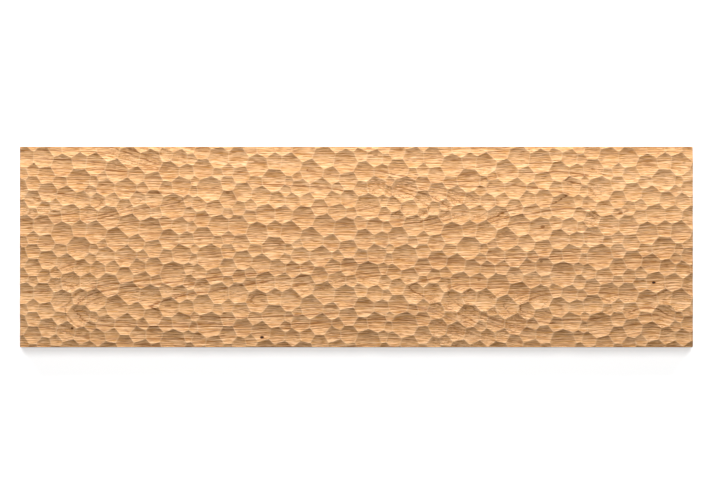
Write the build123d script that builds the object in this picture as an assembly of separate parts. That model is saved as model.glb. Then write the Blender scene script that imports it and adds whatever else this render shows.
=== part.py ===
from build123d import *
import math
import os

# A carved moulding: one flat length of wood whose face a gouge has scooped all over.
# It lies on its back, with X along its length, Y across its width and the carved face up.
# The origin is the middle of the back.

# The blank, before it is carved
blank_length = 670.0
blank_width = 200.0
blank_thickness = 16.0

# The carved pattern repeats along the length and across the width, from the lower left corner
repeat_length = 194.1
repeat_width = 67.5

# How deep a scoop goes below the blank's face, for each millimetre of its reach
depth_per_reach = 0.2

# The scoops of one repeat: the middle of each, from the repeat's lower left corner, and its reach.
# The reach is the radius of the round dish that a scoop would leave in a flat face by itself.
# Neighbouring dishes overlap, and a ridge stands where two of them meet.
repeat_scoops = [
    (4.0, 54.0, 13.0),
    (23.5, 54.0, 13.0),
    (13.0, 41.5, 9.0),
    (3.0, 38.0, 8.0),
    (26.0, 37.0, 11.0),
    (13.0, 28.5, 9.5),
    (28.0, 19.5, 11.5),
    (13.0, 12.0, 11.0),
    (0.0, 3.5, 11.0),
    (13.0, 66.0, 8.0),
    (24.0, 3.0, 9.5),
    (36.0, 6.5, 8.5),
    (35.0, 62.5, 10.0),
    (50.5, 65.0, 12.5),
    (42.0, 46.0, 13.5),
    (40.0, 29.5, 9.0),
    (46.0, 15.5, 12.0),
    (58.5, 31.5, 13.5),
    (59.5, 50.0, 10.5),
    (75.5, 47.5, 13.0),
    (73.7, 30.0, 7.0),
    (70.0, 20.5, 8.0),
    (62.5, 11.5, 11.0),
    (85.5, 24.0, 11.5),
    (77.3, 10.0, 10.5),
    (91.5, 12.0, 9.5),
    (83.0, 35.2, 8.0),
    (96.5, 40.0, 14.0),
    (88.0, 62.0, 13.5),
    (68.0, 65.5, 11.5),
    (109.0, 54.0, 13.5),
    (129.5, 50.0, 14.0),
    (145.5, 57.0, 9.0),
    (149.0, 40.0, 12.0),
    (115.5, 36.5, 10.5),
    (133.0, 31.0, 11.0),
    (105.0, 23.5, 13.0),
    (122.5, 23.0, 8.0),
    (117.5, 12.5, 10.5),
    (133.5, 12.5, 11.0),
    (104.5, 4.0, 10.5),
    (121.5, 0.0, 11.0),
    (136.0, 66.5, 8.0),
    (152.5, 5.0, 15.0),
    (167.5, 10.5, 7.5),
    (159.0, 53.5, 10.5),
    (169.0, 65.0, 9.0),
    (171.0, 52.0, 7.5),
    (181.5, 60.0, 10.5),
    (182.5, 42.5, 12.5),
    (166.0, 39.5, 10.0),
    (174.5, 31.0, 6.5),
    (160.5, 25.5, 12.0),
    (146.0, 23.0, 9.5),
    (173.0, 20.5, 7.0),
    (178.0, 7.5, 9.5),
    (189.0, 22.5, 15.0),
]


def scoops_on_blank():
    """Lay the repeat over the whole blank and keep each scoop that reaches onto it."""
    scoops = []
    for column in range(-1, math.ceil(blank_length / repeat_length) + 1):
        for row in range(-1, math.ceil(blank_width / repeat_width) + 1):
            for from_left, from_below, reach in repeat_scoops:
                x = column * repeat_length + from_left - blank_length / 2
                y = row * repeat_width + from_below - blank_width / 2
                if abs(x) < blank_length / 2 + reach and abs(y) < blank_width / 2 + reach:
                    scoops.append((x, y, reach))
    return scoops


def rounds_of_separate_scoops(scoops):
    """Sort the scoops into rounds, so that no scoop of a round reaches another of that round."""
    rounds = []
    for scoop in sorted(scoops, key=lambda scoop: scoop[2], reverse=True):
        for cut_together in rounds:
            if all(math.dist(scoop[:2], other[:2]) > scoop[2] + other[2] for other in cut_together):
                cut_together.append(scoop)
                break
        else:
            rounds.append([scoop])
    return rounds


def scoop_cutter(x, y, reach):
    """The bowl of a ball that dips to the scoop's depth and stands a little above the face."""
    depth = depth_per_reach * reach
    ball_radius = (reach**2 + depth**2) / (2 * depth)
    above_face = depth / 10
    rim_angle = math.degrees(math.acos((ball_radius - depth - above_face) / ball_radius))
    bowl = Sphere(ball_radius, arc_size1=-90, arc_size2=rim_angle - 90, align=None)
    return Pos(x, y, blank_thickness - depth + ball_radius) * bowl


def carve_board():
    """Cut every scoop into the blank's face, one round after another."""
    on_its_back = (Align.CENTER, Align.CENTER, Align.MIN)
    board = Box(blank_length, blank_width, blank_thickness, align=on_its_back)
    for cut_together in rounds_of_separate_scoops(scoops_on_blank()):
        board -= [scoop_cutter(*scoop) for scoop in cut_together]
    return board.solid()


carved_board = carve_board()
carved_board.label = "carved_board"
os.makedirs("parts", exist_ok=True)
export_step(carved_board, "parts/carved_board.step")
print("carved board:", len(carved_board.faces()), "faces,", round(carved_board.volume), "cubic mm")
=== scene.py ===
# %% [markdown]
# # A carved moulding
#
# The object is one flat length of oak-like wood. A gouge has scooped its face all over, so that
# round hollows meet in crisp ridges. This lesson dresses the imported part: it builds a clean mesh
# from the part's own scoops, makes the wood as a solid, and lights the board from its upper side.
#
# All lengths in Blender are metres here. The wood's own patterns are easier to read in
# millimetres, so the shader groups turn metres into millimetres first.

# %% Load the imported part
import math

import bpy
import numpy as np
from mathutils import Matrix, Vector
from mathutils.bvhtree import BVHTree
from mathutils.geometry import delaunay_2d_cdt
from mathutils.kdtree import KDTree


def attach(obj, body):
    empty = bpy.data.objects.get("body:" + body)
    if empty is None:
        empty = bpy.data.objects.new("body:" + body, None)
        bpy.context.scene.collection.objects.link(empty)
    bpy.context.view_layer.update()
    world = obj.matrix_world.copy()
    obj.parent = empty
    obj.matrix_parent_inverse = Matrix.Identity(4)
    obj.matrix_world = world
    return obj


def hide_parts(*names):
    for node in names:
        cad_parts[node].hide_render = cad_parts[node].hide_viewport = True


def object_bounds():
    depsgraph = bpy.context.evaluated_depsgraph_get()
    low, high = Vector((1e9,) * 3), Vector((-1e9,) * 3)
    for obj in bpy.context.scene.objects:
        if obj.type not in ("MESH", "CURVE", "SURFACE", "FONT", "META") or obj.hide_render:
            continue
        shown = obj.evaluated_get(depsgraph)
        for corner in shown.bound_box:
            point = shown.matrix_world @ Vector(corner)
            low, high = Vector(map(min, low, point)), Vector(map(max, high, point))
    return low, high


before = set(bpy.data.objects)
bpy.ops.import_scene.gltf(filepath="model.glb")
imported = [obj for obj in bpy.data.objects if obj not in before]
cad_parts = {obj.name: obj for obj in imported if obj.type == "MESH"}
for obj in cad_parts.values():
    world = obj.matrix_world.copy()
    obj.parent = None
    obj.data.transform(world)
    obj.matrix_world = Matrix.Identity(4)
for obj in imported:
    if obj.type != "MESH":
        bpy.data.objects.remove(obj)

MM = 0.001
cad_low, cad_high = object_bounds()
board_size = cad_high - cad_low
print("board", [round(side / MM, 1) for side in board_size], "mm")

# %% [markdown]
# ## Reading the scoops
#
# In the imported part, each scoop is an island of triangles: its corners aren't shared with its
# neighbours. So the islands can be told apart by spreading the lowest corner number along the
# edges until nothing changes. Each island then gets the ball that its hollow was cut with, by
# least squares: a point p on a ball with middle c satisfies p.p = 2 c.p + k, which is linear in
# c and k. With the balls known, a new mesh can put its points exactly on the hollows.

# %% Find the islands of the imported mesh
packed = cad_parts["carved_board"].data
corners = np.empty(len(packed.vertices) * 3)
packed.vertices.foreach_get("co", corners)
corners = corners.reshape(-1, 3)
packed_edges = np.empty(len(packed.edges) * 2, int)
packed.edges.foreach_get("vertices", packed_edges)
packed_edges = packed_edges.reshape(-1, 2)


def number_islands(count, edges):
    """The same number for all corners that edges join."""
    island = np.arange(count)
    while True:
        lowest = island.copy()
        np.minimum.at(lowest, edges[:, 0], island[edges[:, 1]])
        np.minimum.at(lowest, edges[:, 1], island[edges[:, 0]])
        lowest = lowest[lowest]
        if np.array_equal(lowest, island):
            return np.unique(island, return_inverse=True)[1]
        island = lowest


corner_island = number_islands(len(corners), packed_edges)
print("islands in the packed mesh:", corner_island.max() + 1)

# %% Fit a ball to each scoop
FLAT = 1e-6


def fit_ball(points):
    """Middle and radius of the ball through the points, or None where they lie in one flat face."""
    if np.ptp(points, axis=0).min() < FLAT:
        return None
    near = points.mean(0)
    local = points - near
    rows = np.hstack([2 * local, np.ones((len(local), 1))])
    solved = np.linalg.lstsq(rows, (local**2).sum(1), rcond=None)[0]
    return near + solved[:3], math.sqrt(max(solved[3] + solved[:3] @ solved[:3], 0))


order = np.argsort(corner_island, kind="stable")
starts = np.flatnonzero(np.diff(corner_island[order], prepend=-1))
balls = [fit_ball(points) for points in np.split(corners[order], starts[1:])]
scoop_radii = [round(ball[1] / MM, 1) for ball in balls if ball]
print("scoops:", len(scoop_radii), "ball radius", min(scoop_radii), "to", max(scoop_radii), "mm")

# %% [markdown]
# ## Ridges and the eased arris
#
# The ridges are where one scoop's island ends and the next begins, so they are the edges that
# only one triangle of an island uses. The new mesh has to keep them as edges, or the ridges
# would look chewed. A constrained Delaunay triangulation does that: it takes points and lines
# in the plane and fills between them with even triangles.
#
# A planed board is never razor sharp along its outside. Its arris, the line where two faces
# meet, is eased by half a millimetre. A bevel modifier would ease the ridges too, so the carved
# face stops that far inside the outline instead, on a rectangle with rounded corners, and small
# steps round the edge over to the sides.

# %% Collect the ridge lines
triangles = np.array([list(face.vertices) for face in packed.polygons])
sides = np.concatenate([triangles[:, [0, 1]], triangles[:, [1, 2]], triangles[:, [2, 0]]])
sides, uses = np.unique(np.sort(sides, axis=1), axis=0, return_counts=True)
has_ball = np.array([ball is not None for ball in balls])
ridge_sides = sides[(uses == 1) & has_ball[corner_island[sides[:, 0]]]]
ridge_ends = np.round(corners[ridge_sides.ravel(), :2], 8)
ridge_xy, ridge_index = np.unique(ridge_ends, axis=0, return_inverse=True)
ridge_lines = np.unique(np.sort(ridge_index.reshape(-1, 2), axis=1), axis=0)
ridge_lines = ridge_lines[ridge_lines[:, 0] != ridge_lines[:, 1]]
print("ridge points:", len(ridge_xy), "ridge lines:", len(ridge_lines))

# %% Draw the outline of the carved face
ARRIS = 0.5 * MM
CORNER = 0.6 * MM
BORDER_STEP = 1.6 * MM
half_size = np.array(board_size[:2]) / 2
core = half_size - ARRIS - CORNER


def outline_loop(step):
    """Points round a rectangle with rounded corners, turning left, ARRIS inside the board."""
    loop = []
    for quarter, (side_x, side_y) in enumerate([(1, 1), (-1, 1), (-1, -1), (1, -1)]):
        middle = core * (side_x, side_y)
        for turn in np.linspace(0, math.pi / 2, 4) + quarter * math.pi / 2:
            loop.append(middle + CORNER * np.array([math.cos(turn), math.sin(turn)]))
        length = 2 * core[quarter % 2]
        direction = np.array([math.cos(turn + math.pi / 2), math.sin(turn + math.pi / 2)])
        pieces = round(length / step)
        loop += [loop[-1] + direction * length * n / pieces for n in range(1, pieces)]
    return np.array(loop)


def outward(points):
    """How far each point lies from the outline's core rectangle, and in which direction."""
    away = points - np.clip(points, -core, core)
    distance = np.linalg.norm(away, axis=1)
    return distance, away / np.maximum(distance, FLAT)[:, None]


border = outline_loop(BORDER_STEP)
print("points round the outline:", len(border))

# %% [markdown]
# ## The carved face
#
# Between the ridges the points lie on a triangle grid, two millimetres apart. A ball of some
# 25 mm needs no finer steps to look round, because the faces are shaded smooth inside a scoop.
# A ray straight down finds which scoop a point is in, and that scoop's ball gives its height.

# %% Lay a triangle grid between the ridges
GRID = 2.0 * MM
CLEAR = 0.8 * MM


def sample_lines(points, lines, step):
    """Points along each line, close enough together to measure distances from."""
    first, last = points[lines[:, 0]], points[lines[:, 1]]
    most = max(1, math.ceil(np.linalg.norm(last - first, axis=1).max() / step))
    shares = np.linspace(0, 1, most + 1)
    return np.concatenate([first + (last - first) * share for share in shares])


def grid_points(step):
    """A triangle grid over the carved face: every other row is shifted by half a step."""
    columns = np.arange(-half_size[0], half_size[0], step)
    heights = np.arange(-half_size[1], half_size[1], step * math.sqrt(3) / 2)
    rows = []
    for number, y in enumerate(heights):
        rows.append(np.column_stack([columns + step / 2 * (number % 2), np.full(len(columns), y)]))
    return np.concatenate(rows)


near_lines = np.unique(np.round(sample_lines(ridge_xy, ridge_lines, CLEAR / 2), 5), axis=0)
ridge_tree = KDTree(len(near_lines))
for number, (x, y) in enumerate(near_lines):
    ridge_tree.insert((x, y, 0), number)
ridge_tree.balance()
grid = grid_points(GRID)
grid = grid[outward(grid)[0] < CORNER - CLEAR / 2]
grid = np.array([point for point in grid if ridge_tree.find((*point, 0))[2] > CLEAR])
print("grid points between the ridges:", len(grid))

# %% Fill between the ridges
MERGE = 1e-6


def fill(points, lines):
    """Even triangles inside the outline that keep the lines as edges, and the lines of each edge."""
    made = delaunay_2d_cdt([Vector(point) for point in points], lines, [], 0, MERGE, True)
    xy = np.array([tuple(point) for point in made[0]])
    faces = np.array(made[2])
    inside = outward(xy[faces].mean(1))[0] < CORNER
    return xy, faces[inside], dict(zip(map(tuple, made[1]), made[4]))


def ring(start, count):
    """The edges of a closed loop of points."""
    return [(start + n, start + (n + 1) % count) for n in range(count)]


plane_points = np.concatenate([ridge_xy, border, grid])
plane_lines = [tuple(line) for line in ridge_lines.tolist()] + ring(len(ridge_xy), len(border))
face_xy, face_triangles, face_edges = fill(plane_points, plane_lines)
used, face_triangles = np.unique(face_triangles, return_inverse=True)
face_triangles = face_triangles.reshape(-1, 3)
face_xy = face_xy[used]
new_number = {int(old): number for number, old in enumerate(used)}
ridge_pairs = [
    (new_number[a], new_number[b])
    for (a, b), origins in face_edges.items()
    if a in new_number and b in new_number and any(n < len(ridge_lines) for n in origins)
]
print("triangles on the carved face:", len(face_triangles), "ridge edges:", len(ridge_pairs))

# %% Put the points on the hollows
SLIP = 0.1 * MM
DOWN = Vector((0, 0, -1))
packed_tree = BVHTree.FromPolygons([Vector(point) for point in corners], triangles.tolist())


def face_height(x, y):
    """Height of the carved face: on the ball of the scoop that a ray straight down finds."""
    found, _, number, _ = packed_tree.ray_cast(Vector((x, y, 1)), DOWN)
    if number is None:
        found, _, number, _ = packed_tree.find_nearest(Vector((x, y, cad_high.z)))
    ball = balls[corner_island[triangles[number][0]]]
    if ball is None:
        return found.z
    middle, radius = ball
    height = middle[2] - math.sqrt(max(radius**2 - (x - middle[0]) ** 2 - (y - middle[1]) ** 2, 0))
    return height if abs(height - found.z) < SLIP else found.z


face_z = np.array([face_height(x, y) for x, y in face_xy])
print("carved face from", round(face_z.min() / MM, 2), "to", round(face_z.max() / MM, 2), "mm high")

# %% [markdown]
# ## Sides and back
#
# From the outline of the carved face, loops of points step outward round the arris, run down
# the side and step inward again under the board. The back is filled with large triangles. Long
# sides and back are planed, the ends are sawn across the grain, so the piece has three finishes.

# %% Step round the arris to the back
CARVED, PLANED, SAWN = 0, 1, 2


def walk_border(faces):
    """The points along the open border of a patch of triangles, in order."""
    edges = {(int(f[n]), int(f[(n + 1) % 3])) for f in faces for n in range(3)}
    following = {a: b for a, b in edges if (b, a) not in edges}
    walk = [min(following)]
    while following[walk[-1]] != walk[0]:
        walk.append(following[walk[-1]])
    return walk


rim = walk_border(face_triangles)
rim_xy, rim_z = face_xy[rim], face_z[rim]
rim_out = outward(rim_xy)[1]
steps = [math.radians(angle) for angle in (30, 60, 90)]
levels = [(ARRIS * math.sin(turn), rim_z - ARRIS * (1 - math.cos(turn))) for turn in steps]
for turn in [0] + steps:
    levels.append((ARRIS * math.cos(turn), np.full(len(rim), ARRIS * (1 - math.sin(turn)))))
points = [np.column_stack([face_xy, face_z])]
points += [np.column_stack([rim_xy + rim_out * out, height]) for out, height in levels]
loops = [rim]
for number in range(len(levels)):
    start = len(face_xy) + number * len(rim)
    loops.append(list(range(start, start + len(rim))))
rim_finish = np.where(abs(rim_out[:, 0]) > abs(rim_out[:, 1]), SAWN, PLANED)
side_faces, side_finish = [], []
for upper, lower in zip(loops, loops[1:]):
    for n in range(len(rim)):
        after = (n + 1) % len(rim)
        side_faces.append((upper[after], upper[n], lower[n], lower[after]))
        side_finish.append(int(rim_finish[n]))
print("loops round the sides:", len(levels), "of", len(rim), "points")

# %% Fill the back
BACK_GRID = 12.0 * MM
back_grid = grid_points(BACK_GRID)
back_grid = back_grid[outward(back_grid)[0] < FLAT]
back_xy, back_triangles, _ = fill(np.concatenate([rim_xy, back_grid]), ring(0, len(rim)))
back_start = sum(len(level) for level in points)
points.append(np.column_stack([back_xy[len(rim):], np.zeros(len(back_xy) - len(rim))]))
back_number = np.array(loops[-1] + list(range(back_start, back_start + len(back_xy) - len(rim))))
back_faces = [tuple(back_number[list(face)][::-1]) for face in back_triangles]
print("triangles on the back:", len(back_faces))

# %% [markdown]
# ## One piece, with its ridges marked
#
# Carving leaves the ridges standing proud, so hands and sandpaper reach them first and rub them
# paler, and the ridges also get a painted highlight, paler colour where they catch the light. The
# shader needs to know where they are. It could look for sharp bends by itself, but a number stored
# on the mesh, one on a ridge and zero elsewhere, is exact and fades over the first triangles beside
# the ridge. A line counts as a ridge if two different balls lie beside it: a scoop's own seam,
# where its packed surface begins and ends, has the same ball on both sides.

# %% Make the piece
ARRIS_LOOPS = (0, 3, 4, -1)

board_mesh = bpy.data.meshes.new("carved_moulding_board")
all_points = np.concatenate(points)
all_faces = [tuple(face) for face in face_triangles.tolist()] + side_faces + back_faces
board_mesh.from_pydata(all_points.tolist(), [], all_faces)
finishes = [CARVED] * len(face_triangles) + side_finish + [PLANED] * len(back_faces)
board_mesh.polygons.foreach_set("material_index", finishes)
board_mesh.polygons.foreach_set("use_smooth", [True] * len(all_faces))
crisp = {tuple(sorted(pair)) for pair in ridge_pairs}
for loop in (loops[number] for number in ARRIS_LOOPS):
    crisp |= {tuple(sorted((a, b))) for a, b in zip(loop, loop[1:] + loop[:1])}
sharp = board_mesh.attributes.new("sharp_edge", "BOOLEAN", "EDGE")
sharp.data.foreach_set("value", [tuple(sorted(edge.vertices)) in crisp for edge in board_mesh.edges])
print("crisp edges:", len(crisp))

# %% Mark the true ridges


def scoop_below(x, y):
    """Middle of the ball that made the hollow at a place, to a hundredth of a millimetre."""
    number = packed_tree.ray_cast(Vector((x, y, 1)), DOWN)[2]
    ball = None if number is None else balls[corner_island[triangles[number][0]]]
    return None if ball is None else tuple(np.round(ball[0] / MM, 2))


def parts_two_hollows(a, b):
    """True for a line with different hollows on its two sides."""
    middle = (face_xy[a] + face_xy[b]) / 2
    direction = face_xy[b] - face_xy[a]
    beside = np.array([-direction[1], direction[0]]) / np.linalg.norm(direction) * SLIP
    return scoop_below(*(middle + beside)) != scoop_below(*(middle - beside))


on_ridge = np.zeros(len(all_points))
for a, b in ridge_pairs:
    if parts_two_hollows(a, b):
        on_ridge[[a, b]] = 1.0
board_mesh.attributes.new("ridge", "FLOAT", "POINT").data.foreach_set("value", on_ridge)
print("points on ridges:", int(on_ridge.sum()))

# %% Put the piece in the frame
print("mesh faults corrected:", board_mesh.validate(verbose=True))
board = bpy.data.objects.new("carved_moulding_board", board_mesh)
bpy.context.scene.collection.objects.link(board)
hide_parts("carved_board")
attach(board, "root")
triangle_count = sum(len(face.vertices) - 2 for face in board_mesh.polygons)
print("piece:", len(board_mesh.vertices), "points,", triangle_count, "triangles")

# %% [markdown]
# ## Wood as a solid
#
# A gouge cuts through the grain, so the figure has to run through the board and not lie on it
# like a print. A picture wrapped over the face couldn't do that. Here every pattern is worked out
# from a point's place in the board: along the grain, across it, and in depth. The wood changes
# slowly with depth, so its lines run nearly straight through the hollows, as the photo shows.
#
# Small helpers come first, so that the shader groups below read like sums.

# %% Helpers for shader groups


def new_group(name, inputs, outputs):
    """A shader group with its sockets, and its input and output nodes."""
    group = bpy.data.node_groups.new(name, "ShaderNodeTree")
    for socket in inputs:
        kind = "NodeSocketVector" if socket == "Position" else "NodeSocketFloat"
        group.interface.new_socket(name=socket, in_out="INPUT", socket_type=kind)
    for socket in outputs:
        kind = "NodeSocketColor" if socket == "Colour" else "NodeSocketFloat"
        group.interface.new_socket(name=socket, in_out="OUTPUT", socket_type=kind)
    return group, group.nodes.new("NodeGroupInput").outputs, group.nodes.new("NodeGroupOutput").inputs


def plug(tree, socket, value):
    """Wires a node's output into a socket, or sets the socket to a value."""
    if isinstance(value, bpy.types.NodeSocket):
        tree.links.new(value, socket)
    else:
        socket.default_value = value


def calc(tree, operation, *values):
    """One step of arithmetic."""
    node = tree.nodes.new("ShaderNodeMath")
    node.operation = operation
    for socket, value in zip(node.inputs, values):
        plug(tree, socket, value)
    return node.outputs[0]


def soft_step(tree, value, start, end, low=0.0, high=1.0):
    """Rises softly from low to high as the value goes from start to end."""
    node = tree.nodes.new("ShaderNodeMapRange")
    node.interpolation_type = "SMOOTHSTEP"
    names = ("Value", "From Min", "From Max", "To Min", "To Max")
    for name, setting in zip(names, (value, start, end, low, high)):
        plug(tree, node.inputs[name], setting)
    return node.outputs[0]


def blend(tree, amount, first, second, mode="MIX"):
    """Mixes two colours."""
    node = tree.nodes.new("ShaderNodeMix")
    node.data_type = "RGBA"
    node.blend_type = mode
    for number, value in ((0, amount), (6, first), (7, second)):
        plug(tree, node.inputs[number], value)
    return node.outputs[2]


def add_group(tree, group, *values):
    """Puts a group into a tree and wires its inputs in order; gives its outputs."""
    node = tree.nodes.new("ShaderNodeGroup")
    node.node_tree = group
    for socket, value in zip(node.inputs, values):
        plug(tree, socket, value)
    return node.outputs


# %% Curves and noise
LEAST_DEPTH = 5.0


def hand_curve(tree, value, points):
    """A smooth curve through given points."""
    low, high = np.min(points, axis=0), np.max(points, axis=0)
    node = tree.nodes.new("ShaderNodeFloatCurve")
    curve = node.mapping.curves[0].points
    placed = (np.array(points) - low) / (high - low)
    curve[0].location, curve[1].location = placed[0], placed[-1]
    for place in placed[1:-1]:
        curve.new(*place)
    for point in curve:
        point.handle_type = "AUTO_CLAMPED"
    node.mapping.update()
    from_low = calc(tree, "SUBTRACT", value, float(low[0]))
    plug(tree, node.inputs["Value"], calc(tree, "MULTIPLY", from_low, 1 / float(high[0] - low[0])))
    return calc(tree, "MULTIPLY_ADD", node.outputs[0], float(high[1] - low[1]), float(low[1]))


def grain_noise(tree, along, across, depth, length, width, detail=2.0):
    """Noise drawn out along the grain: its patches are about length by width, in millimetres."""
    place = tree.nodes.new("ShaderNodeCombineXYZ")
    sizes = (length, width, max(width, LEAST_DEPTH))
    for socket, value, size in zip(place.inputs, (along, across, depth), sizes):
        plug(tree, socket, calc(tree, "MULTIPLY", value, 1 / size))
    noise = tree.nodes.new("ShaderNodeTexNoise")
    plug(tree, noise.inputs["Vector"], place.outputs[0])
    noise.inputs["Scale"].default_value = 1.0
    noise.inputs["Detail"].default_value = detail
    noise.inputs["Roughness"].default_value = 0.5
    return noise.outputs["Fac"]


# %% Grain space
SLANT = 0.12
FACE_HEIGHT = 14.0
WANDER = 4.0

grain_space, given, result = new_group("grain space", ["Position"], ["Along", "Across", "Depth"])
split = grain_space.nodes.new("ShaderNodeSeparateXYZ")
plug(grain_space, split.inputs[0], given["Position"])
along, across, depth = (calc(grain_space, "DIVIDE", socket, MM) for socket in split.outputs)
slow = grain_noise(grain_space, along, across, depth, 150.0, 60.0, 1.0)
wander = calc(grain_space, "MULTIPLY", calc(grain_space, "SUBTRACT", slow, 0.5), WANDER)
below_face = calc(grain_space, "SUBTRACT", depth, FACE_HEIGHT)
leaning = calc(grain_space, "MULTIPLY_ADD", below_face, SLANT, across)
plug(grain_space, result["Along"], along)
plug(grain_space, result["Across"], calc(grain_space, "ADD", leaning, wander))
plug(grain_space, result["Depth"], depth)
print("group:", grain_space.name)

# %% [markdown]
# ## Where the rings come to the face
#
# The board is plain-sawn: the saw ran nearly along the growth rings, so the rings come to the
# face as nested arches. The photo shows two rows of them. In the upper row the arches point to
# the right, in the lower row to the left, and straight lines run between the rows.
#
# Cutting a round log in the shader gives arches too, but nobody could steer them to the places
# in the photo. A ring count that changes over the board can be steered. Across the width it falls
# to a valley along the upper row's axis and rises to a ridge along the lower row's, which makes
# the straight lines. Along the length it is raised near each axis, and every whole number that
# it passes is one more arch. The axes themselves drift up and down. The points of these curves
# were set one by one.

# %% Curves of the ring count
across_count = [(-110, 17.0), (-80, 26.0), (-70, 27.8), (-60, 28.4), (-50, 27.8), (-40, 26.2)]
across_count += [(-30, 24.0), (-15, 21.0), (0, 17.6), (10, 13.2), (20, 7.4), (27, 3.5), (35, 1.4)]
across_count += [(43, 0.2), (49, 0.0), (52, 0.3), (56, 0.9), (60, 1.9), (65, 5.0), (70, 8.6)]
across_count += [(75, 12.0), (80, 14.0), (95, 18.5), (110, 23.0)]
upper_share = [(-110, 0.0), (-40, 0.02), (-15, 0.08), (0, 0.2), (10, 0.42), (20, 0.72), (27, 0.9)]
upper_share += [(35, 0.96), (49, 1.0), (56, 0.97), (60, 0.92), (65, 0.72), (70, 0.45), (75, 0.22)]
upper_share += [(80, 0.1), (95, 0.0), (110, 0.0)]
upper_arches = [(-340, -1.0), (-305, 0.3), (-255, 1.7), (-222, 2.8), (-176, 3.5), (-126, 4.4)]
upper_arches += [(-60, 5.2), (0, 6.2), (27, 7.6), (45, 8.8), (68, 10.2), (93, 11.6), (107, 12.4)]
upper_arches += [(133, 13.4), (206, 14.6), (230, 15.0), (262, 15.6), (340, 16.2)]
upper_drift = [(-340, -5.0), (-255, -3.0), (-176, 2.0), (-60, 3.0), (0, 2.0), (45, -6.0)]
upper_drift += [(107, -9.0), (133, -4.0), (206, 3.0), (230, 1.0), (262, -11.0), (340, -11.0)]
lower_share = [(-110, 0.6), (-80, 0.85), (-60, 1.0), (-40, 0.8), (-5, 0.22), (40, 0.0), (110, 0.0)]
lower_arches = [(-340, -6.4), (-313, -6.2), (-300, -5.8), (-287, -5.0), (-275, -4.0), (-258, -3.2)]
lower_arches += [(-203, -2.4), (-53, 0.0), (58, 2.2), (105, 5.0), (148, 8.0), (175, 9.6)]
lower_arches += [(218, 10.8), (262, 9.8), (290, 9.2), (312, 10.6), (322, 11.0), (340, 10.2)]
lower_drift = [(-340, -4.0), (-206, 0.0), (-51, 11.0), (20, 19.0), (52, 20.0), (90, 15.0)]
lower_drift += [(145, 3.0), (171, 1.0), (260, 3.0), (300, 5.0), (340, 2.0)]
top_share = [(-110, 0.0), (60, 0.0), (75, 0.3), (100, 1.0), (110, 1.2)]
top_arches = [(-340, -6.0), (-255, -5.5), (-235, -4.5), (-140, 5.5), (-120, 6.3), (-60, 6.5)]
top_arches += [(100, 4.0), (340, 1.0)]
print("arch curves:", len(upper_arches), "and", len(lower_arches), "points")

# %% Ring count
WAVE = 0.5

ring_count, given, result = new_group("ring count", ["Along", "Across", "Depth"], ["Rings"])
along, across, depth = given["Along"], given["Across"], given["Depth"]
near_lower = soft_step(ring_count, across, 20.0, -40.0)
from_middle = soft_step(ring_count, across, 0.0, 35.0)
to_top = soft_step(ring_count, across, 90.0, 60.0)
near_upper = calc(ring_count, "MULTIPLY", from_middle, to_top)
straight = across
for near, drift_points in ((near_lower, lower_drift), (near_upper, upper_drift)):
    drift = calc(ring_count, "MULTIPLY", hand_curve(ring_count, along, drift_points), near)
    straight = calc(ring_count, "SUBTRACT", straight, drift)
count = hand_curve(ring_count, straight, across_count)
rows_of_arches = ((upper_share, upper_arches), (lower_share, lower_arches), (top_share, top_arches))
for share_points, arch_points in rows_of_arches:
    share = hand_curve(ring_count, straight, share_points)
    count = calc(ring_count, "MULTIPLY_ADD", share, hand_curve(ring_count, along, arch_points), count)
wave = grain_noise(ring_count, along, across, depth, 45.0, 10.0, 1.0)
wave = calc(ring_count, "SUBTRACT", wave, 0.5)
plug(ring_count, result["Rings"], calc(ring_count, "MULTIPLY_ADD", wave, WAVE, count))
print("group:", ring_count.name)

# %% [markdown]
# ## How close the rings lie
#
# A line drawn between two ring counts would be broad where the rings lie far apart and hair-thin
# where they crowd. On the real board the lines are about equally wide. So the shader asks how fast
# the count changes, by counting again one millimetre further along and one higher, and divides by
# that. The same two steps tell whether the rings run along the board or across it.
#
# A cut through wood never shows a clean arch either: strands of fibre shift each arch to and fro.
# Moving the place along the grain by fine noise before counting gives those feathered tips.

# %% Ring slope
FEATHER = 9.0
STEP = 1.0
TINY_SLOPE = 0.001

ring_slope, given, result = new_group(
    "ring slope", ["Along", "Across", "Depth"], ["Rings", "Slope", "Lengthwise"]
)
along, across, depth = given["Along"], given["Across"], given["Depth"]
strand = grain_noise(ring_slope, along, across, depth, 24.0, 0.8, 1.0)
strand = calc(ring_slope, "SUBTRACT", strand, 0.5)
along = calc(ring_slope, "MULTIPLY_ADD", strand, FEATHER, along)
further, higher = calc(ring_slope, "ADD", along, STEP), calc(ring_slope, "ADD", across, STEP)
here = add_group(ring_slope, ring_count, along, across, depth)["Rings"]
further_on = add_group(ring_slope, ring_count, further, across, depth)["Rings"]
higher_up = add_group(ring_slope, ring_count, along, higher, depth)["Rings"]
rise_along = calc(ring_slope, "SUBTRACT", further_on, here)
rise_across = calc(ring_slope, "SUBTRACT", higher_up, here)
square_across = calc(ring_slope, "MULTIPLY", rise_across, rise_across)
slope = calc(ring_slope, "SQRT", calc(ring_slope, "MULTIPLY_ADD", rise_along, rise_along, square_across))
not_zero = calc(ring_slope, "MAXIMUM", slope, TINY_SLOPE)
plug(ring_slope, result["Rings"], here)
plug(ring_slope, result["Slope"], slope)
sideways = calc(ring_slope, "ABSOLUTE", rise_across)
plug(ring_slope, result["Lengthwise"], calc(ring_slope, "DIVIDE", sideways, not_zero))
print("group:", ring_slope.name)

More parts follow.
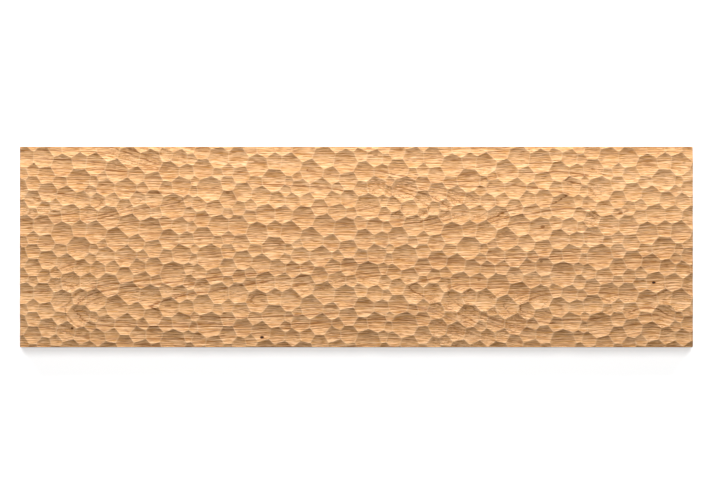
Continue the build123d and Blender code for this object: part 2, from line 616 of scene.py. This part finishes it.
# %% [markdown]
# ## Growth lines
#
# Wood is paler where it grew fast in spring and darker where it grew slowly in summer, with many
# finer lines inside each ring. A wave over the ring count would make every ring alike. Here the
# boldest lines of this board are named by their ring count, so that they lie where the photo
# shows them, each a crisp line in a soft skirt. They fade in and out along the board, and where
# the rings crowd they are weaker, or they would close up to a dark band.
#
# The finer lines are noise over the ring count, made at four widths and mixed by how close the
# rings lie. They follow the rings where these are close and run along the board. Elsewhere the
# finer lines are straight, as the fibres are.

# %% Bold lines
bold_rings = [(1.8, 0.9), (3.0, 0.8), (3.6, 1.0), (4.5, 0.7), (6.3, 0.9), (7.5, 0.6), (8.8, 0.8)]
bold_rings += [(10.4, 0.9), (11.5, 1.0), (12.5, 0.8), (13.6, 0.7), (14.7, 1.0), (15.6, 0.9)]
bold_rings += [(17.4, 0.6), (19.8, 0.7), (21.2, 0.6), (23.2, 0.8), (24.1, 1.0), (24.7, 0.8)]
bold_rings += [(26.1, 1.0), (27.6, 0.8), (28.4, 0.7), (30.5, 1.0), (32.5, 0.9), (33.6, 0.9)]
bold_rings += [(36.4, 1.0), (37.5, 1.0), (38.6, 0.6)]
HALF_LINE = 0.85
LINE_CORE = HALF_LINE * 0.3
SKIRT = 2.2
SKIRT_SHARE = 0.15
LEAST_SLOPE = 0.04

growth_lines, given, result = new_group(
    "growth lines", ["Rings", "Slope", "Lengthwise", "Along", "Across", "Depth"], ["Lines", "Tone"]
)
rings, along, across, depth = (given[name] for name in ("Rings", "Along", "Across", "Depth"))
slope = calc(growth_lines, "MAXIMUM", given["Slope"], LEAST_SLOPE)
bold = 0.0
for number, strength in bold_rings:
    away = calc(growth_lines, "ABSOLUTE", calc(growth_lines, "SUBTRACT", rings, number))
    away = calc(growth_lines, "DIVIDE", away, slope)
    crisp_line = soft_step(growth_lines, away, HALF_LINE, LINE_CORE, 0.0, (1 - SKIRT_SHARE) * strength)
    soft_skirt = soft_step(growth_lines, away, SKIRT, 0.0, 0.0, SKIRT_SHARE * strength)
    bold = calc(growth_lines, "MAXIMUM", bold, calc(growth_lines, "ADD", crisp_line, soft_skirt))
patches = grain_noise(growth_lines, along, across, depth, 45.0, 8.0)
bold = calc(growth_lines, "MULTIPLY", bold, soft_step(growth_lines, patches, 0.36, 0.58, 0.45, 1.0))
open_grown = soft_step(growth_lines, slope, 0.55, 0.22, 0.25, 1.0)
bold = calc(growth_lines, "MULTIPLY", bold, open_grown)
print("bold rings:", len(bold_rings))

# %% Fine lines
SLOPES = (0.08, 0.16, 0.32, 0.64)
FINE_LENGTH, FINE_WIDTH, FINE_STRENGTH = 30.0, 0.8, 0.65
TONE_LENGTH, TONE_WIDTH = 16.0, 0.68


def even_lines(tree, seed, length, width):
    """Noise that runs along the rings, its lines about equally wide however close the rings are."""
    steep = calc(tree, "MAXIMUM", given["Slope"], SLOPES[0])
    doublings = calc(tree, "LOGARITHM", calc(tree, "MINIMUM", steep, SLOPES[-1]), 2.0)
    total = 0.0
    for level in SLOPES:
        off = calc(tree, "ABSOLUTE", calc(tree, "SUBTRACT", doublings, math.log2(level)))
        weight = calc(tree, "MAXIMUM", calc(tree, "SUBTRACT", 1.0, off), 0.0)
        noise = grain_noise(tree, along, rings, seed * level, length, width * level, 0.0)
        total = calc(tree, "MULTIPLY_ADD", weight, noise, total)
    return total


close = soft_step(growth_lines, given["Slope"], 0.05, 0.10)
runs_along = soft_step(growth_lines, given["Lengthwise"], 0.45, 0.85)
follows = calc(growth_lines, "MULTIPLY", close, runs_along)
fine = even_lines(growth_lines, 37.0, FINE_LENGTH, FINE_WIDTH)
fine = soft_step(growth_lines, fine, 0.57, 0.71, 0.0, FINE_STRENGTH)
fine = calc(growth_lines, "MULTIPLY", fine, follows)
plug(growth_lines, result["Lines"], calc(growth_lines, "MAXIMUM", bold, fine))
straight_tone = grain_noise(growth_lines, along, across, depth, TONE_LENGTH, TONE_WIDTH, 0.0)
bent_tone = even_lines(growth_lines, 3.0, TONE_LENGTH, TONE_WIDTH)
apart = calc(growth_lines, "SUBTRACT", bent_tone, straight_tone)
tone = calc(growth_lines, "MULTIPLY_ADD", apart, follows, straight_tone)
plug(growth_lines, result["Tone"], soft_step(growth_lines, tone, 0.34, 0.66))
print("group:", growth_lines.name)

# %% [markdown]
# ## Fibres and pores
#
# Fibres and pores run along the board wherever the rings go. Noise drawn out along the grain
# gives them, the pores cut off hard so that only short dark dashes are left. Seen from a metre
# away, noise as fine as real fibres would blur to an even tone. So a ripple across the grain is
# added, a little over two millimetres from line to line, which wobbles and comes and goes in
# patches: it keeps the look of fine lines at that distance. Broad streaks vary the colour slowly.

# %% Fibres and pores
RIPPLE = 2.3
WOBBLE = 7.0

fibres, given, result = new_group(
    "fibres and pores", ["Along", "Across", "Depth"], ["Fibres", "Pores", "Streaks"]
)
place = given["Along"], given["Across"], given["Depth"]
strands = 0.0
for length, width, weight in ((9.0, 0.68, 0.60), (5.0, 0.6, 0.40)):
    noise = grain_noise(fibres, *place, length, width, 0.0)
    strands = calc(fibres, "MULTIPLY_ADD", noise, weight, strands)
wobble = calc(fibres, "MULTIPLY", grain_noise(fibres, *place, 26.0, 3.0, 0.0), WOBBLE)
turns = calc(fibres, "MULTIPLY_ADD", given["Across"], 2 * math.pi / RIPPLE, wobble)
patchy = soft_step(fibres, grain_noise(fibres, *place, 10.0, 2.0, 0.0), 0.35, 0.65, 0.2, 0.7)
ripple = calc(fibres, "MULTIPLY", calc(fibres, "SINE", turns), patchy)
plug(fibres, result["Fibres"], calc(fibres, "ADD", soft_step(fibres, strands, 0.32, 0.68), ripple))
dashes = grain_noise(fibres, *place, 8.0, 0.7, 0.0)
plug(fibres, result["Pores"], soft_step(fibres, dashes, 0.57, 0.70))
broad = grain_noise(fibres, *place, 170.0, 12.0)
plug(fibres, result["Streaks"], soft_step(fibres, broad, 0.36, 0.66))
print("group:", fibres.name)

# %% [markdown]
# ## Pin knots
#
# A few tiny knots and brown flecks sit at fixed places in this board. Scattered noise would put
# them anywhere, so each is listed with its place, its reach in millimetres and its darkness. It
# is drawn as a soft spot, a little longer along the grain than across it.

# %% Pin knots
pin_knots = [(-94.0, -90.0, 1.9, 1.0), (296.0, -35.5, 1.8, 1.0), (-283.0, -81.0, 1.4, 0.8)]
pin_knots += [(-320.7, 82.8, 1.2, 0.6), (185.5, 20.0, 2.4, 0.45), (263.0, 34.0, 2.4, 0.35)]
pin_knots += [(144.0, 34.0, 1.8, 0.3), (122.0, -33.0, 1.8, 0.35), (-48.8, 76.5, 1.1, 0.5)]
pin_knots += [(-128.0, 54.0, 2.2, 0.35), (184.0, -14.5, 1.6, 0.35)]
ALONG_SQUEEZE = 0.7
KNOT_CORE = 0.4

knots, given, result = new_group("pin knots", ["Position"], ["Knots"])
split = knots.nodes.new("ShaderNodeSeparateXYZ")
plug(knots, split.inputs[0], given["Position"])
spots = 0.0
for x, y, reach, darkness in pin_knots:
    along = calc(knots, "MULTIPLY_ADD", split.outputs["X"], ALONG_SQUEEZE / MM, -ALONG_SQUEEZE * x)
    across = calc(knots, "MULTIPLY_ADD", split.outputs["Y"], 1 / MM, -y)
    square = calc(knots, "MULTIPLY_ADD", along, along, calc(knots, "MULTIPLY", across, across))
    spot = soft_step(knots, calc(knots, "SQRT", square), reach, reach * KNOT_CORE, 0.0, darkness)
    spots = calc(knots, "MAXIMUM", spots, spot)
plug(knots, result["Knots"], spots)
print("group:", knots.name, "with", len(pin_knots), "knots")

# %% [markdown]
# ## Colour of the wood
#
# The body colour is a golden tan. A colour ramp over one noise would look painted, because in
# real wood each layer has a colour of its own. So the layers are laid over each other: fibres and
# fine lines move the body between a paler and a deeper tan, streaks warm it here and there,
# growth lines and pores darken it to red brown, knots nearly to black.

# %% Colour of the wood
pale_tan = (0.955, 0.606, 0.340, 1)
deep_tan = (0.555, 0.262, 0.076, 1)
warm_tan = (0.655, 0.311, 0.100, 1)
line_brown = (0.260, 0.090, 0.022, 1)
knot_black = (0.020, 0.010, 0.005, 1)

wood_colour, given, result = new_group(
    "wood colour", ["Lines", "Tone", "Fibres", "Pores", "Streaks", "Knots"], ["Colour"]
)
half_tone = calc(wood_colour, "MULTIPLY", given["Tone"], 0.5)
paleness = calc(wood_colour, "MULTIPLY_ADD", given["Fibres"], 0.5, half_tone)
body = blend(wood_colour, paleness, deep_tan, pale_tan)
layers = (("Streaks", 0.22, warm_tan), ("Lines", 0.9, line_brown), ("Pores", 0.6, line_brown))
for layer, strength, colour in layers:
    body = blend(wood_colour, calc(wood_colour, "MULTIPLY", given[layer], strength), body, colour)
body = blend(wood_colour, soft_step(wood_colour, given["Knots"], 0.0, 0.6), body, line_brown)
body = blend(wood_colour, soft_step(wood_colour, given["Knots"], 0.6, 1.0), body, knot_black)
plug(wood_colour, result["Colour"], body)
print("group:", wood_colour.name)

# %% [markdown]
# ## The three finishes
#
# All three use the same wood, and each tool leaves its own marks. The gouge leaves the carved face
# smooth and slightly shiny, with ridges worn pale; their pale colour is also a painted highlight.
# The planer leaves the sides and the back a little duller, with faint knife marks across the grain,
# and these faces are painted a tone deeper, a painted shade against the low strip's strong light.
# A saw leaves the ends rough and darker, because cut-open pores swallow light.
#
# Three separate materials would repeat the wood three times. So one function makes the wood and
# hands its colour and its fibre height to a second function, which adds that tool's marks.

# %% Marks of the three tools
# The ridges' pale colour is a painted highlight where they catch the light, and also wear from rubbing.
pale_highlight_and_wear = (0.98, 0.70, 0.42, 1)
# The sides and back are painted a tone darker: painted shade that holds back the low strip's strong
# light.
sides_painted_shade = (0.80, 0.73, 0.64, 1)
sawn_shade = (0.62, 0.56, 0.50, 1)


def ridges_highlight_and_wear(tree, where, colour, height):
    """Painted highlight and wear: paler colour on the ridges between the hollows."""
    ridge = tree.nodes.new("ShaderNodeAttribute")
    ridge.attribute_name = "ridge"
    # Painted highlight and wear: mixes the ridges towards the pale colour.
    highlight_and_wear_amount = soft_step(tree, ridge.outputs["Fac"], 0.35, 0.9, 0.0, 0.19)
    return blend(tree, highlight_and_wear_amount, colour, pale_highlight_and_wear), height


def knife_marks_and_painted_shade(tree, where, colour, height):
    """Even ripples of a planer's knives across the grain, over a painted shade that darkens the sides and
    back.
    """
    knife = tree.nodes.new("ShaderNodeTexWave")
    knife.bands_direction = "X"
    plug(tree, knife.inputs["Vector"], where)
    knife.inputs["Scale"].default_value = 90.0
    knife.inputs["Distortion"].default_value = 0.4
    # Painted shade: darkens the planed faces, varied a little by the knife ripples.
    depth = soft_step(tree, knife.outputs["Fac"], 0.0, 1.0, 0.8, 1.0)
    shaded = blend(tree, depth, colour, sides_painted_shade, "MULTIPLY")
    return shaded, calc(tree, "MULTIPLY_ADD", knife.outputs["Fac"], 0.25, height)


def saw_marks(tree, where, colour, height):
    """Rough slanting scratches of a saw's teeth."""
    stretch = tree.nodes.new("ShaderNodeMapping")
    stretch.inputs["Scale"].default_value = (1, 1600, 220)
    stretch.inputs["Rotation"].default_value = (0.35, 0, 0)
    plug(tree, stretch.inputs["Vector"], where)
    kerf = tree.nodes.new("ShaderNodeTexNoise")
    plug(tree, kerf.inputs["Vector"], stretch.outputs[0])
    kerf.inputs["Scale"].default_value = 1.0
    depth = soft_step(tree, kerf.outputs["Fac"], 0.25, 0.75, 0.45, 0.75)
    shaded = blend(tree, depth, colour, sawn_shade, "MULTIPLY")
    return shaded, calc(tree, "ADD", height, kerf.outputs["Fac"])


print("tool marks:", ridges_highlight_and_wear.__name__, knife_marks_and_painted_shade.__name__, saw_marks.__name__)

# %% Gouged, planed and sawn
DULNESS_SPREAD = 0.08
PORE_DEPTH = 0.8
BUMP_STRENGTH = 0.5


def wood_finish(name, dulness, grit, specular, tool_marks):
    """A material of the shared wood: dulness sets its roughness, grit its fibres' height in mm."""
    material = bpy.data.materials.new(name)
    material.use_nodes = True
    tree = material.node_tree
    tree.nodes.clear()
    where = tree.nodes.new("ShaderNodeTexCoord").outputs["Object"]
    space = add_group(tree, grain_space, where)
    place = space["Along"], space["Across"], space["Depth"]
    rings = add_group(tree, ring_slope, *place)
    lines = add_group(tree, growth_lines, rings["Rings"], rings["Slope"], rings["Lengthwise"], *place)
    strands = add_group(tree, fibres, *place)
    spots = add_group(tree, knots, where)["Knots"]
    layers = lines["Lines"], lines["Tone"], strands["Fibres"], strands["Pores"], strands["Streaks"], spots
    colour = add_group(tree, wood_colour, *layers)["Colour"]
    pores = calc(tree, "MULTIPLY", strands["Pores"], PORE_DEPTH)
    height = calc(tree, "SUBTRACT", strands["Fibres"], pores)
    colour, height = tool_marks(tree, where, colour, height)
    bump = tree.nodes.new("ShaderNodeBump")
    bump.inputs["Strength"].default_value = BUMP_STRENGTH
    bump.inputs["Distance"].default_value = grit * MM
    plug(tree, bump.inputs["Height"], height)
    smooth, rough = dulness - DULNESS_SPREAD, dulness + DULNESS_SPREAD
    shader = tree.nodes.new("ShaderNodeBsdfPrincipled")
    shader.inputs["Specular IOR Level"].default_value = specular
    plug(tree, shader.inputs["Base Color"], colour)
    plug(tree, shader.inputs["Roughness"], soft_step(tree, strands["Fibres"], 1.0, 0.0, smooth, rough))
    plug(tree, shader.inputs["Normal"], bump.outputs[0])
    output = tree.nodes.new("ShaderNodeOutputMaterial")
    tree.links.new(shader.outputs[0], output.inputs["Surface"])
    board_mesh.materials.append(material)


wood_finish("gouged wood face", 0.50, 0.16, 0.15, ridges_highlight_and_wear)
wood_finish("planed wood sides", 0.58, 0.06, 0.3, knife_marks_and_painted_shade)
wood_finish("sawn wood ends", 0.74, 0.12, 0.2, saw_marks)
print("finishes:", [material.name for material in board_mesh.materials])

# %% [markdown]
# ## Paper and surroundings
#
# The board lies on white paper in a white studio. Enough lamplight to make the paper white would
# bleach the wood. So for the eye, and for anything that mirrors or passes light, the paper glows
# a little as well. Near the board the glow is weak, so that the shadow stays. Further away it
# rises to full white, because there the lamps are weaker and the paper would look grey from the
# side. The world around is white to the eye and only a faint fill for the board.

# %% Paper on the floor
GLOW = 0.64
NEAR, FAR = 0.45, 0.80
FLOOR_HALF = 4
FLOOR_DROP = -0.0002


def sees_background(tree):
    """One for rays that come from the eye, from a mirror or through glass."""
    path = tree.nodes.new("ShaderNodeLightPath").outputs
    mirrored = calc(tree, "MAXIMUM", path["Is Glossy Ray"], path["Is Transmission Ray"])
    return calc(tree, "MAXIMUM", path["Is Camera Ray"], mirrored)


floor_mesh = bpy.data.meshes.new("floor")
quarters = ((-1, -1), (1, -1), (1, 1), (-1, 1))
floor_corners = [(x * FLOOR_HALF, y * FLOOR_HALF, FLOOR_DROP) for x, y in quarters]
floor_mesh.from_pydata(floor_corners, [], [(0, 1, 2, 3)])
floor = bpy.data.objects.new("floor", floor_mesh)
bpy.context.scene.collection.objects.link(floor)
paper = bpy.data.materials.new("white paper")
paper.use_nodes = True
tree = paper.node_tree
shader = tree.nodes["Principled BSDF"]
shader.inputs["Base Color"].default_value = (0.95, 0.95, 0.95, 1)
shader.inputs["Specular IOR Level"].default_value = 0.0
shader.inputs["Emission Color"].default_value = (1, 1, 1, 1)
spot = tree.nodes.new("ShaderNodeTexCoord").outputs["Object"]
tooth = tree.nodes.new("ShaderNodeTexNoise")
tooth.inputs["Scale"].default_value = 900.0
plug(tree, tooth.inputs["Vector"], spot)
plug(tree, shader.inputs["Roughness"], soft_step(tree, tooth.outputs["Fac"], 0.2, 0.8, 0.8, 0.95))
from_middle = tree.nodes.new("ShaderNodeVectorMath")
from_middle.operation = "LENGTH"
plug(tree, from_middle.inputs[0], spot)
glow = soft_step(tree, from_middle.outputs["Value"], NEAR, FAR, GLOW, 1.0)
plug(tree, shader.inputs["Emission Strength"], calc(tree, "MULTIPLY", sees_background(tree), glow))
floor_mesh.materials.append(paper)
print("paper glows from", GLOW, "near the board to 1 away from it")

# %% White surroundings
FILL = 0.06

world = bpy.data.worlds.new("white studio")
bpy.context.scene.world = world
world.use_nodes = True
tree = world.node_tree
around = tree.nodes["Background"]
around.inputs["Color"].default_value = (1, 1, 1, 1)
plug(tree, around.inputs["Strength"], soft_step(tree, sees_background(tree), 0.0, 1.0, FILL, 1.0))
print("fill", FILL)

# %% [markdown]
# ## Two soft lights
#
# In the photo each hollow is dark at its top and bright at its bottom, with no lean to left or
# right. So the light comes from beyond the board's upper side, low, and from a source as long as
# the board. One lamp like that would leave the dark halves black and the shadow hard. A second,
# weaker panel high above opens them and softens the shadow under the lower edge.

# %% Strip and panel


def studio_light(name, place, size, energy):
    """A soft rectangle of light that faces the board."""
    light = bpy.data.lights.new(name, "AREA")
    light.shape = "RECTANGLE"
    light.size, light.size_y = size
    light.energy = energy
    holder = bpy.data.objects.new(name, light)
    holder.location = place
    holder.rotation_euler = (-Vector(place)).to_track_quat("-Z", "Y").to_euler()
    bpy.context.scene.collection.objects.link(holder)
    print(name, energy, "W,", round(math.degrees(math.atan2(place[2], place[1]))), "degrees up")


studio_light("low strip", (0, 0.72, 0.29), (1.9, 0.25), 19.5)
studio_light("overhead panel", (0, 0.42, 1.10), (1.6, 0.55), 6.95)

# %% [markdown]
# ## Camera
#
# The photo looks straight down on the board and shows no sides, so it was taken from far away. A
# long lens does the same. Its height follows from the width of the picture on the board's face,
# and the board lies a little off the middle of the picture, so the camera does too.

# %% Camera over the board
PICTURE_WIDTH = 712.4 * MM
OFF_X, OFF_Y = 1.60 * MM, 1.39 * MM

camera = bpy.data.cameras.new("camera over the board")
camera.sensor_width = 36.0
camera.lens = 200.0
camera_object = bpy.data.objects.new("camera over the board", camera)
distance = PICTURE_WIDTH * camera.lens / camera.sensor_width
camera_object.location = (OFF_X, OFF_Y, cad_high.z + distance)
bpy.context.scene.collection.objects.link(camera_object)
bpy.context.scene.camera = camera_object
bpy.context.scene.view_settings.view_transform = "Standard"
print("camera", round(camera_object.location.z, 2), "m above the floor")
